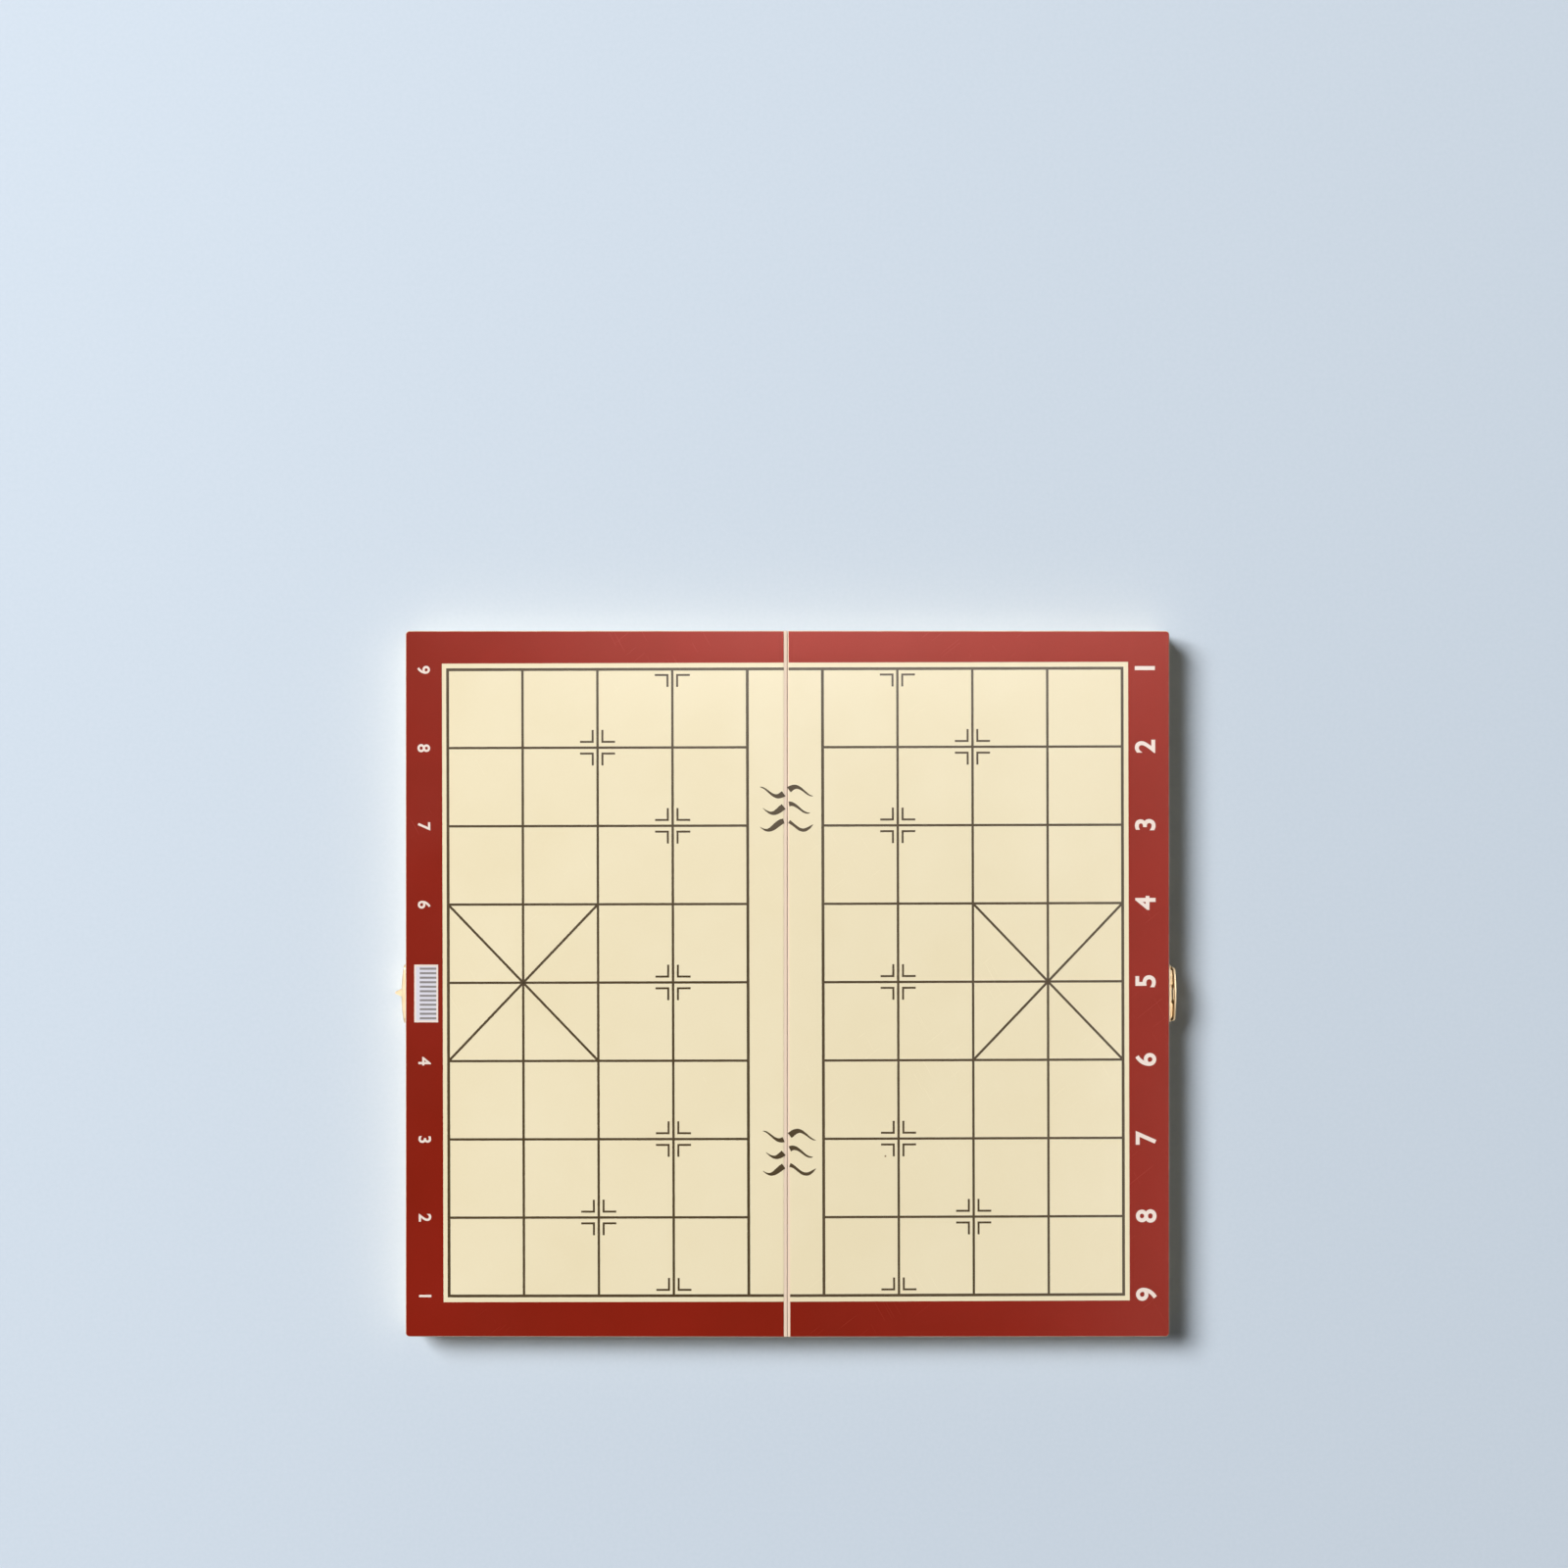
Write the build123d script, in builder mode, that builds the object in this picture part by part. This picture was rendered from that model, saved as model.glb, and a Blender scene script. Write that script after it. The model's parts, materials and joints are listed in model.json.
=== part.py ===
from build123d import *
import os
from math import asin, atan2, cos, hypot, radians, sin, tan

# Folding xiangqi board that shuts into a box: two shallow wooden trays hinged along the river,
# unfolded with their playing faces up. Millimetres, +Z up. The origin is on the table under the
# middle of the board, X runs across the two trays and Y along the hinges.
#
# Each tray has a plane of its own. Its origin is on the hinge axis, its X points outwards from the
# spine and its Z is square to the playing face. The left tray is the right one turned half a turn.
# The hinge knuckles stand proud of the rims, so the open trays rest on the knuckles and on their
# outer rims, and each droops outwards by a fraction of a degree.

# Board, unfolded
board_length = 350.0
board_width = 378.5
panel_thickness = 3.0
film_thickness = 0.25
rail_height = 20.0
rail_thickness = 9.0
finger_count = 5            # comb joint at every corner
spine_gap = 0.3             # between the spine faces when they stand parallel
rim_gap = 0.1               # between the two rims of the shut box
panel_gap = 0.1             # between the panels, which meet to stop the board opening further
corner_radius = 2.0
edge_break = 0.3            # bevel round the outer edges
spine_edge_radius = 0.4     # worn upper edge of each panel along the spine
film_margin = 0.35          # bare panel round the print

# Bare panel between each print and the seam, at the far and near ends. The sheets are laid by hand.
film_spine_margins = {"left": (1.8, 1.8), "right": (0.45, 1.3)}

# Butt hinges at the spine, their leaves let into the rims
hinge_spacing = 220.0
hinge_length = 25.0
knuckle_count = 3
knuckle_radius = 1.25
knuckle_end_gap = 0.1
hinge_pin_radius = 0.6
pin_clearance = 0.05        # radial, in the knuckles that turn
barrel_clearance = 0.25     # round the barrel, in the rails
leaf_thickness = 0.6
leaf_reach = 8.3            # from the hinge axis to the leaf's outer edge
leaf_corner = 1.0
leaf_screw_reach = 5.0
leaf_screw_spacing = 14.0

# Countersunk screws
shank_radius = 0.8
head_radius = 1.4
head_angle = 90.0
screw_sides = 12            # of the screws and their pilot holes
leaf_screw_length = 6.0
plate_screw_length = 7.0

# Clasp on the outer walls. Heights are above the hinge axis, reaches are from the wall.
clasp_offset = -5.5         # along the board
plate_width = 29.0
plate_end_thickness = 1.6
hasp_plate_crown = 2.2
keeper_crown = 2.9
plate_corner = 2.5
plate_bevel = 0.4
plate_screw_spacing = 20.0
plate_screw_reach = 1.85
keeper_low = 2.2
keeper_height = 14.8
nose_height = 8.0
nose_reach = 8.1
nose_width = 6.4
nose_thickness = 2.6
nose_taper = 8.0
nose_tip_radius = 0.6
hasp_axis_height = 4.0
hasp_axis_reach = 3.45
hasp_plate_low = 6.2
hasp_plate_height = 10.8
hasp_screw_height = 12.6
eye_radius = 1.35
eye_length = 4.2
eye_gap = 0.15
hasp_pin_radius = 0.6
flap_width = 27.0
flap_crown = 3.65
flap_sag = 0.35
flap_turn = 1.3             # radius that turns the flap's ends in
flap_lip = 1.9              # reach of the turned ends
flap_thickness = 0.7
flap_length = 17.4          # from the hasp's axis to the free end
flap_root = 3.0             # from the hasp's axis to where the sheet starts
flap_end_curve = 2.4
flap_corner = 2.2
slot_width = 6.4
slot_height = 3.6

# Worked out from the above
half_width = board_width / 2
spine_face = spine_gap / 2
rim = rim_gap / 2
panel_base = rim + rail_height
panel_top = panel_base + panel_thickness
finger_height = rail_height / finger_count
corner_reach = board_length / 2 - rail_thickness / 2
foot = half_width - edge_break
droop = asin(knuckle_radius / hypot(foot, rim)) + atan2(rim, foot)
panel_start = (panel_gap / 2 - panel_base * sin(droop)) / cos(droop)
knuckle_pitch = hinge_length / knuckle_count
knuckle_length = knuckle_pitch - knuckle_end_gap
leaf_root = knuckle_radius + barrel_clearance
tab_root = knuckle_radius - 0.6 * (knuckle_radius - hinge_pin_radius)
slot_reach = hasp_axis_height + nose_height
head_depth = (head_radius - shank_radius) / tan(radians(head_angle / 2))
eye_pitch = eye_length + eye_gap
barrel_length = 3 * eye_length + 2 * eye_gap


def tray_plane(side):
    """Plane of a tray, drooping about the hinge axis. side is 1 on the right and -1 on the left."""
    return Plane(
        origin=(0, 0, knuckle_radius),
        x_dir=(side * cos(droop), 0, -sin(droop)),
        z_dir=(side * sin(droop), 0, cos(droop)),
    )


def end_view(tray, along):
    """Upright plane square to the hinge axis, X outwards and Y up."""
    return Plane(tray.from_local_coords((0, along, 0)), x_dir=tray.x_dir, z_dir=-tray.y_dir)


def wall_view(tray):
    """Plane on the outer wall, X along the wall and Y up."""
    origin = tray.from_local_coords((half_width, 0, 0))
    return Plane(origin, x_dir=tray.y_dir, z_dir=tray.x_dir)


def outwards(tray):
    return Axis(tray.origin, tray.x_dir)


def upwards(tray):
    return Axis(tray.origin, tray.z_dir)


def leaf_screw_planes(tray, along):
    """Head planes of the two screws in one leaf, facing out of the rim."""
    spots = [along - leaf_screw_spacing / 2, along + leaf_screw_spacing / 2]
    points = [tray.from_local_coords((leaf_screw_reach, spot, rim)) for spot in spots]
    return [Plane(point, x_dir=tray.x_dir, z_dir=-tray.z_dir) for point in points]


def plate_screw_planes(tray, along, height):
    """Head planes of the two screws in a clasp plate, facing out of the wall."""
    reach = half_width + plate_screw_reach
    spots = [along - plate_screw_spacing / 2, along + plate_screw_spacing / 2]
    points = [tray.from_local_coords((reach, spot, height)) for spot in spots]
    return [Plane(point, x_dir=tray.y_dir, z_dir=tray.x_dir) for point in points]


def make_panel(tray):
    """Thin board over the rails, bevelled round the outside and worn round along the spine."""
    with BuildPart() as panel:
        with BuildSketch(tray.offset(panel_base)):
            with Locations(((panel_start + half_width) / 2, 0)):
                Rectangle(half_width - panel_start, board_length)
            fillet(vertices().sort_by(Axis.X)[-2:], corner_radius)
        extrude(amount=panel_thickness)
        face = panel.faces().sort_by(upwards(tray))[-1]
        fillet(face.edges().sort_by(outwards(tray))[0], spine_edge_radius)
        face = panel.faces().sort_by(upwards(tray))[-1]
        chamfer(face.edges().sort_by(outwards(tray))[1:], edge_break)
    return panel.part


def make_film(tray, margins):
    """Printed sheet laminated on the panel's flat. margins are the bare strips beside the seam at
    the ends where the tray's Y is highest and lowest."""
    edge = half_width - film_margin
    end = board_length / 2 - film_margin
    high, low = margins
    with BuildPart() as film:
        with BuildSketch(tray.offset(panel_top)):
            with BuildLine():
                Polyline((panel_start + high, end), (panel_start + low, -end), (edge, -end), (edge, end), close=True)
            make_face()
            fillet(vertices().sort_by(Axis.X)[-2:], corner_radius - film_margin)
        extrude(amount=film_thickness)
    return film.part


def leaf_outline(root):
    """A hinge leaf in plan from root outwards, centred on its hinge."""
    with BuildSketch() as outline:
        with Locations(((root + leaf_reach) / 2, 0)):
            Rectangle(leaf_reach - root, hinge_length)
        fillet(outline.vertices().sort_by(Axis.X)[-2:], leaf_corner)
    return outline.sketch


def make_outer_rail(tray, screw_planes):
    """Outer wall of a tray. Its comb fingers are the bottom, middle and top layers."""
    with BuildPart() as rail:
        with BuildSketch(tray.offset(rim)):
            with Locations((half_width - rail_thickness / 2, 0)):
                Rectangle(rail_thickness, board_length)
            fillet(vertices().sort_by(Axis.X)[-2:], corner_radius)
        extrude(amount=rail_height)
        face = rail.faces().sort_by(upwards(tray))[0]
        chamfer(face.edges().sort_by(outwards(tray))[1:], edge_break)
        for layer in range(1, finger_count, 2):
            with BuildSketch(tray.offset(rim + layer * finger_height)):
                with Locations((half_width - rail_thickness / 2, 0)):
                    with GridLocations(0, 2 * corner_reach, 1, 2):
                        Rectangle(rail_thickness, rail_thickness)
            extrude(amount=finger_height, mode=Mode.SUBTRACT)
        with BuildSketch(*screw_planes):
            RegularPolygon(shank_radius, screw_sides)
        extrude(amount=-plate_screw_length, mode=Mode.SUBTRACT)
    return rail.part


def make_spine_rail(tray):
    """Wall along the spine, let out for the hinge leaves, their barrels and their screws."""
    middle = spine_face + rail_thickness / 2
    with BuildPart() as rail:
        with BuildSketch(tray.offset(rim)):
            with Locations((middle, 0)):
                Rectangle(rail_thickness, board_length)
        extrude(amount=rail_height)
        face = rail.faces().sort_by(upwards(tray))[0]
        chamfer(face.edges().filter_by(outwards(tray)), edge_break)
        for layer in range(1, finger_count, 2):
            with BuildSketch(tray.offset(rim + layer * finger_height)):
                with Locations((middle, 0)):
                    with GridLocations(0, 2 * corner_reach, 1, 2):
                        Rectangle(rail_thickness, rail_thickness)
            extrude(amount=finger_height, mode=Mode.SUBTRACT)
        for along in (-hinge_spacing / 2, hinge_spacing / 2):
            with BuildSketch(tray.offset(rim)):
                with Locations((0, along)):
                    add(leaf_outline(spine_face))
            extrude(amount=leaf_thickness, mode=Mode.SUBTRACT)
            with BuildSketch(end_view(tray, along)):
                Circle(leaf_root)
            slot = hinge_length / 2 + barrel_clearance
            extrude(amount=slot, both=True, mode=Mode.SUBTRACT)
            with BuildSketch(*leaf_screw_planes(tray, along)):
                RegularPolygon(shank_radius, screw_sides)
            extrude(amount=-leaf_screw_length, mode=Mode.SUBTRACT)
    return rail.part


def make_end_rail(tray, end):
    """End wall of a tray. Its comb fingers fill the layers between those of the long rails."""
    with BuildPart() as rail:
        with BuildSketch(tray.offset(rim)):
            with Locations(((spine_face + half_width) / 2, end * corner_reach)):
                Rectangle(half_width - spine_face, rail_thickness)
            corner = (half_width, end * board_length / 2)
            fillet(vertices().sort_by_distance(corner)[0], corner_radius)
        extrude(amount=rail_height)
        face = rail.faces().sort_by(upwards(tray))[0]
        outside = Axis(tray.origin, end * tray.y_dir)
        chamfer(face.edges().sort_by(outside)[-1], edge_break)
        for layer in range(0, finger_count, 2):
            with BuildSketch(tray.offset(rim + layer * finger_height)):
                for middle in (spine_face + rail_thickness / 2, half_width - rail_thickness / 2):
                    with Locations((middle, end * corner_reach)):
                        Rectangle(rail_thickness, rail_thickness)
            extrude(amount=finger_height, mode=Mode.SUBTRACT)
    return rail.part


def make_leaf(tray, along, knuckles, bore_radius):
    """Hinge leaf flush with the rim, with a rolled knuckle at each numbered place."""
    spots = [along + (place - (knuckle_count - 1) / 2) * knuckle_pitch for place in knuckles]
    with BuildPart() as leaf:
        with BuildSketch(tray.offset(rim)):
            with Locations((0, along)):
                add(leaf_outline(leaf_root))
            with Locations(*[((tab_root + leaf_root) / 2, spot) for spot in spots]):
                Rectangle(leaf_root - tab_root, knuckle_length)
        extrude(amount=leaf_thickness)
        for spot in spots:
            with BuildSketch(end_view(tray, spot)):
                Circle(knuckle_radius)
            extrude(amount=knuckle_length / 2, both=True)
        with BuildSketch(end_view(tray, along)):
            Circle(bore_radius)
        extrude(amount=hinge_length / 2, both=True, mode=Mode.SUBTRACT)
        with Locations(*leaf_screw_planes(tray, along)):
            CounterSinkHole(shank_radius, head_radius, leaf_screw_length, head_angle)
    return leaf.part


def make_pin(plane, radius, length):
    """Hinge pin centred on a plane, its ends cut off square."""
    with BuildPart() as pin:
        with BuildSketch(plane):
            Circle(radius)
        extrude(amount=length / 2, both=True)
    return pin.part


def make_screw(length):
    """Countersunk screw in few faces, its head face at the origin and its shank down."""
    with BuildPart() as screw:
        for radius, height in ((head_radius, 0), (shank_radius, -head_depth)):
            with BuildSketch(Plane.XY.offset(height)):
                RegularPolygon(radius, screw_sides)
        loft(ruled=True)
        extrude(screw.faces().sort_by(Axis.Z)[0], amount=length - head_depth)
    return screw.part


def make_screws(planes, length):
    """Screws at their head planes, as one group."""
    screw = make_screw(length)
    with BuildPart() as screws:
        with Locations(*planes):
            add(screw)
    return screws.part


def make_plate_blank(tray, along, low, height, crown):
    """Cast clasp plate: flat back, bowed front, bevelled along its long edges, round corners."""
    ends = (along - plate_width / 2, along + plate_width / 2)
    edge = half_width + plate_end_thickness
    with BuildPart() as plate:
        with BuildSketch(tray.offset(low)):
            with BuildLine():
                ThreePointArc((edge, ends[0]), (half_width + crown, along), (edge, ends[1]))
                Polyline((edge, ends[1]), (half_width, ends[1]), (half_width, ends[0]), (edge, ends[0]))
            make_face()
        extrude(amount=height)
        chamfer(plate.edges().filter_by(GeomType.CIRCLE), plate_bevel)
        fillet(plate.edges().filter_by(outwards(tray)), plate_corner)
    return plate.part


def make_keeper(tray, along, screw_planes):
    """Keeper plate with the pointed nose that the flap's slot goes over."""
    foot_reach = half_width + plate_end_thickness
    with BuildPart() as keeper:
        add(make_plate_blank(tray, along, keeper_low, keeper_height, keeper_crown))
        with BuildSketch(tray.offset(nose_height)):
            with BuildLine():
                Polyline(
                    (foot_reach, along - nose_width / 2),
                    (half_width + nose_reach, along),
                    (foot_reach, along + nose_width / 2),
                    close=True,
                )
            make_face()
            fillet(vertices().sort_by(Axis.X)[-1], nose_tip_radius)
        extrude(amount=nose_thickness / 2, both=True, taper=nose_taper)
        with Locations(*screw_planes):
            CounterSinkHole(shank_radius, head_radius, plate_screw_length, head_angle)
    return keeper.part


def eye_outline(sheet_reach, sheet_height, sheet_radius):
    """Rolled eye seen from its end: the barrel drawn out to meet its own sheet or plate."""
    with BuildSketch() as outline:
        with Locations((half_width + hasp_axis_reach, hasp_axis_height)):
            Circle(eye_radius)
        with Locations((half_width + sheet_reach, sheet_height)):
            Circle(sheet_radius)
        make_hull()
    return outline.sketch


def make_hasp_plate(tray, along, screw_planes):
    """Hasp plate with the two outer eyes, which grip the pin."""
    with BuildPart() as plate:
        add(make_plate_blank(tray, along, hasp_plate_low, hasp_plate_height, hasp_plate_crown))
        for spot in (along - eye_pitch, along + eye_pitch):
            with BuildSketch(end_view(tray, spot)):
                add(eye_outline(1.1, hasp_plate_low + 1.1, 0.9))
            extrude(amount=eye_length / 2, both=True)
        with BuildSketch(end_view(tray, along)):
            with Locations((half_width + hasp_axis_reach, hasp_axis_height)):
                Circle(hasp_pin_radius)
        extrude(amount=barrel_length / 2, both=True, mode=Mode.SUBTRACT)
        with Locations(*screw_planes):
            CounterSinkHole(shank_radius, head_radius, plate_screw_length, head_angle)
    return plate.part


def flap_face(inset):
    """The flap seen along the wall, filled up to its lips, its front and ends moved in by inset."""
    crown = half_width + flap_crown - inset
    front = crown - flap_sag
    back = half_width + flap_lip
    end = flap_width / 2 - inset
    with BuildSketch() as outline:
        with BuildLine():
            ThreePointArc((front, -end), (crown, 0), (front, end))
            Polyline((front, end), (back, end), (back, -end), (front, -end))
        make_face()
        fillet(outline.vertices().sort_by(Axis.X)[-2:], flap_turn - inset)
    return outline.sketch


def make_flap(tray, along):
    """Pressed flap, folded up: bowed sheet with turned-in ends, a slot and the middle eye."""
    ends = (along - flap_width / 2, along + flap_width / 2)
    low = hasp_axis_height + flap_root
    high = hasp_axis_height + flap_length
    shoulder = high - flap_end_curve
    with BuildPart() as flap:
        with BuildSketch(tray.offset(low)):
            with Locations((0, along)):
                add(flap_face(0))
                add(flap_face(flap_thickness), mode=Mode.SUBTRACT)
        extrude(amount=high - low)
        with BuildSketch(wall_view(tray)):
            with BuildLine():
                Polyline((ends[1], shoulder), (ends[1], low), (ends[0], low), (ends[0], shoulder))
                ThreePointArc((ends[0], shoulder), (along, high), (ends[1], shoulder))
            make_face()
            fillet(vertices(), flap_corner)
            with Locations((along, hasp_axis_height + slot_reach)):
                RectangleRounded(slot_width, slot_height, slot_height / 4, mode=Mode.SUBTRACT)
        extrude(amount=2 * flap_crown, mode=Mode.INTERSECT)
        with BuildSketch(end_view(tray, along)):
            add(eye_outline(flap_crown - flap_thickness / 2, low + 0.8, flap_thickness / 2))
        extrude(amount=eye_length / 2, both=True)
        with BuildSketch(end_view(tray, along)):
            with Locations((half_width + hasp_axis_reach, hasp_axis_height)):
                Circle(hasp_pin_radius + pin_clearance)
        extrude(amount=eye_length, both=True, mode=Mode.SUBTRACT)
    return flap.part


def save(piece, name):
    piece.label = name
    export_step(piece, f"parts/{name}.step")


os.makedirs("parts", exist_ok=True)
sides = {"left": -1, "right": 1}
ends = {"far": 1, "near": -1}
knuckles_of = {"left": (0, 2), "right": (1,)}
bore_of = {"left": hinge_pin_radius, "right": hinge_pin_radius + pin_clearance}
plate_screw_height = {"left": nose_height, "right": hasp_screw_height}

for name, side in sides.items():
    tray = tray_plane(side)
    clasp = side * clasp_offset
    plate_screws = plate_screw_planes(tray, clasp, plate_screw_height[name])
    save(make_panel(tray), f"{name}_panel")
    save(make_film(tray, film_spine_margins[name][::side]), f"{name}_print_film")
    save(make_outer_rail(tray, plate_screws), f"{name}_outer_rail")
    save(make_spine_rail(tray), f"{name}_spine_rail")
    hinge_screws = []
    for place, end in ends.items():
        local_end = side * end
        along = local_end * hinge_spacing / 2
        save(make_end_rail(tray, local_end), f"{name}_{place}_rail")
        leaf = make_leaf(tray, along, knuckles_of[name], bore_of[name])
        save(leaf, f"{place}_hinge_{name}_leaf")
        hinge_screws += leaf_screw_planes(tray, along)
        if name == "left":
            pin = make_pin(end_view(tray, along), hinge_pin_radius, hinge_length)
            save(pin, f"{place}_hinge_pin")
    save(make_screws(hinge_screws, leaf_screw_length), f"{name}_hinge_screws")
    if name == "left":
        save(make_keeper(tray, clasp, plate_screws), "keeper_plate")
        save(make_screws(plate_screws, plate_screw_length), "keeper_screws")
    else:
        hasp_axis = end_view(tray, clasp).from_local_coords(
            (half_width + hasp_axis_reach, hasp_axis_height, 0)
        )
        save(make_hasp_plate(tray, clasp, plate_screws), "hasp_plate")
        save(make_screws(plate_screws, plate_screw_length), "hasp_screws")
        pin_plane = Plane(hasp_axis, x_dir=tray.x_dir, z_dir=tray.y_dir)
        save(make_pin(pin_plane, hasp_pin_radius, barrel_length), "hasp_pin")
        save(make_flap(tray, clasp), "hasp_flap")
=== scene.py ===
import json
from itertools import product
from math import atan, atan2, cos, pi, radians, sin

import bmesh
import bpy
import numpy as np
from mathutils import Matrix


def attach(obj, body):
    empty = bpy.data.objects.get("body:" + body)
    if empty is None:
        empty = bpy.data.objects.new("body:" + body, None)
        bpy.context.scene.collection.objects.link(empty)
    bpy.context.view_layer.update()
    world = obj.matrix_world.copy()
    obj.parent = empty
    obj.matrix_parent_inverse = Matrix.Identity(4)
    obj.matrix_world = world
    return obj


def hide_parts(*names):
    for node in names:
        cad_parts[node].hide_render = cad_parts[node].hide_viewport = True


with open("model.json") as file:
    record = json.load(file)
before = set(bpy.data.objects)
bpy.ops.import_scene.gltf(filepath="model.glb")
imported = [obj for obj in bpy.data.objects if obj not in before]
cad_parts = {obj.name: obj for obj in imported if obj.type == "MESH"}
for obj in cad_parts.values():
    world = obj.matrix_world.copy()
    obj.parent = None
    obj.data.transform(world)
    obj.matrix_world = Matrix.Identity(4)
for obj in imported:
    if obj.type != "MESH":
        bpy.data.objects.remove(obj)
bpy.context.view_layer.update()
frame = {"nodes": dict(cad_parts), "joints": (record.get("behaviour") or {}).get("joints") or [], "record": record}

# Looks of a folding xiangqi board that shuts into a box. Lengths are millimetres until a mesh is
# made, +X runs across the two trays, +Y along the hinges and +Z up.

MM = 0.001
SIDES = {"left": -1, "right": 1}

# Printed sheet, laminated on each tray's panel. It lies a little below the top that the mount
# gives, which leaves room for the inks. Its spine edge has one distance from the hinge axis at the
# far end and another at the near end.
sheet_thickness = 0.19
sheet_sink = 0.06
half_width = 189.25
half_length = 175.0
sheet_margin = 0.35
sheet_spine = {"left": (1.72, 1.72), "right": (0.37, 1.22)}
sheet_corner = 1.65
corner_steps = 8

# Inks. Each layer is a little thicker than the one it may cross, so that none shares a face.
border_ink = 0.030
rank_ink = 0.036
file_ink = 0.042
palace_ink = 0.048
mark_ink = 0.036
white_ink = 0.042
field_ink = 0.048
stripe_ink = 0.054

# The playing field: ten ranks run along Y and nine files across. The river is in the middle. The
# print sits a little aside and is turned by a fraction of a degree, given in radians.
print_shift = {"left": (-0.72, 0.89), "right": (-1.09, 0.84)}
print_turn = 0.0026
river_half = 18.64
rank_pitch = 37.14
file_pitch = 38.80
rank_count = 5
file_half_count = 4
line_width = 1.18
frame_width = 1.4
field_edge = {"left": -170.73, "right": 169.1}
field_far = 159.15
field_near = -157.38
mark_width = 1.0
mark_gap = (2.4, 2.9)
mark_arm = (6.3, 5.9)

# Files that have corner marks, for each rank that has any. Files are counted from the middle one
# and ranks from the river.
mark_files = {1: (-4, -2, 0, 2, 4), 2: (-3, 3)}

# Water ripples in the river, where the seam parts them. Every other row is shorter, and each row's
# wave is further on than the one before it. The swell's two powers shape a stroke's width from its
# tip to its middle, and the press is the brush's mean pressure and how much it changes.
ripple_places = ((-0.24, 86.9), (0.75, -83.5))
ripple_half = 13.0
ripple_shorter = 1.5
ripple_rows = (8.4, 0.0, -8.4)
ripple_rise = 2.3
ripple_wave = 17.5
ripple_further = 0.9
ripple_width = 3.0
ripple_tip_width = 0.12
ripple_swell = (2.2, 0.8)
ripple_press = (0.72, 0.28)
ripple_steps = 28

# Numbers of the files, counted by each player from the right. They start inside the border's ink
# and stand a little above it. A figure's height is a fixed share of the font's size.
number_height = {"left": 6.2, "right": 10.0}
number_line = {"left": -179.8, "right": 177.4}
number_weight = {"left": 0.16, "right": 0.32}
number_above = 0.012
number_below = 0.01
figure_share = 0.73
figure_steps = 6
figure_merge = 0.0005

# Plain striped patch on the left border, in the middle file
patch = (-184.85, -19.1, -173.0, 9.5)
patch_frame = 0.9
stripe_left = -182.1
stripe_width = 1.05
stripe_count = 12

# Screws. The head's face has a bevelled edge, with its width and the depths where it starts and
# ends, and the middle of the face and the point end in a small flat. The shank's rings stop short
# of the screw's end by the margin, and the thread starts a little below the head.
head_radius = 1.4
head_depth = 0.6
head_bevel = 0.04
bevel_depths = (0.02, 0.06)
flat_radius = 0.02
core_radius = 0.55
thread_radius = 0.76
thread_pitch = 0.75
thread_start = 0.3
crest_power = 4
neck_length = 0.1
point_length = 1.2
shank_margin = 1.4
screw_columns = 72
face_rings = 20
pitch_rings = 8
point_rings = 8

# Cross recess of a screw: half the width and the reach of each bar, how wide its slanted sides and
# ends are, its depth in the middle, and the share of that which is lost at a bar's end
recess_half = 0.2
recess_reach = 0.78
recess_side = 0.06
recess_end = 0.1
recess_depth = 0.42
recess_loss = 0.45

# Places of the screws, and how far each cross is turned: the first one's angle in radians and the
# step to the next
leaf_screw_length = 6.0
leaf_screw_reach = 5.0
leaf_screw_height = 0.05
leaf_screw_spots = (-117.0, -103.0, 103.0, 117.0)
leaf_screw_turn = (0.4, 1.1)
plate_screw_length = 7.0
plate_screw_reach = half_width + 1.85
plate_screw_height = {"left": 8.0, "right": 12.6}
plate_screw_spots = (-15.5, 4.5)
plate_screw_turn = (0.7, 0.9)
plate_names = {"left": "keeper", "right": "hasp"}

# Two ribs along the top of the hasp plate, one each side of the flap's slot. Their places along
# the wall are from the clasp's middle, and their reaches from the wall. The end fall is the share
# of a rib's reach, squared, that is gone at its very end.
clasp_middle = -5.5
rib_start = 4.2
rib_end = 12.3
rib_back = 1.0
rib_crown = 2.78
rib_sag = 0.33
rib_low = 14.6
rib_high = 17.03
rib_round = 0.35
rib_round_steps = 6
rib_end_round = 1.2
rib_end_fall = 0.98
rib_stations = 41

# The trays lean outwards from the hinge axis, as the playing faces in the record say.
mounts = {mount["name"]: mount for mount in frame["record"]["mounts"]}
face = mounts["right_playing_face"]
lean = atan2(face["axis"][0], face["axis"][2])
axis_height = frame["joints"][0]["pos_m"][2] / MM
face_height = (
    face["pos_m"][0] * sin(lean) + (face["pos_m"][2] - axis_height * MM) * cos(lean)
) / MM
sheet_top = face_height - sheet_sink


# ---------------------------------------------------------------- shapes


def on_tray(side, x, y, height):
    """Point of a tray in metres: x across the board and height over the hinge axis are turned
    outwards about that axis by the lean."""
    reach = side * np.asarray(x, float)
    x_turned = side * (reach * cos(lean) + height * sin(lean))
    z_turned = axis_height - reach * sin(lean) + height * cos(lean)
    return np.stack(np.broadcast_arrays(x_turned, y, z_turned), axis=-1) * MM


def piece(name, points, faces, body, material, smooth_angle=30.0):
    """Mesh object at the origin that rides on a body, smooth but for its corners. Faces are index
    rows of any length."""
    mesh = bpy.data.meshes.new(name)
    mesh.from_pydata(np.reshape(points, (-1, 3)).tolist(), [], faces)
    mesh.validate()
    obj = bpy.data.objects.new(name, mesh)
    bpy.context.scene.collection.objects.link(obj)
    mesh.materials.append(material)
    mesh.shade_smooth()
    mesh.set_sharp_from_angle(angle=radians(smooth_angle))
    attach(obj, body)
    return obj


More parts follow.
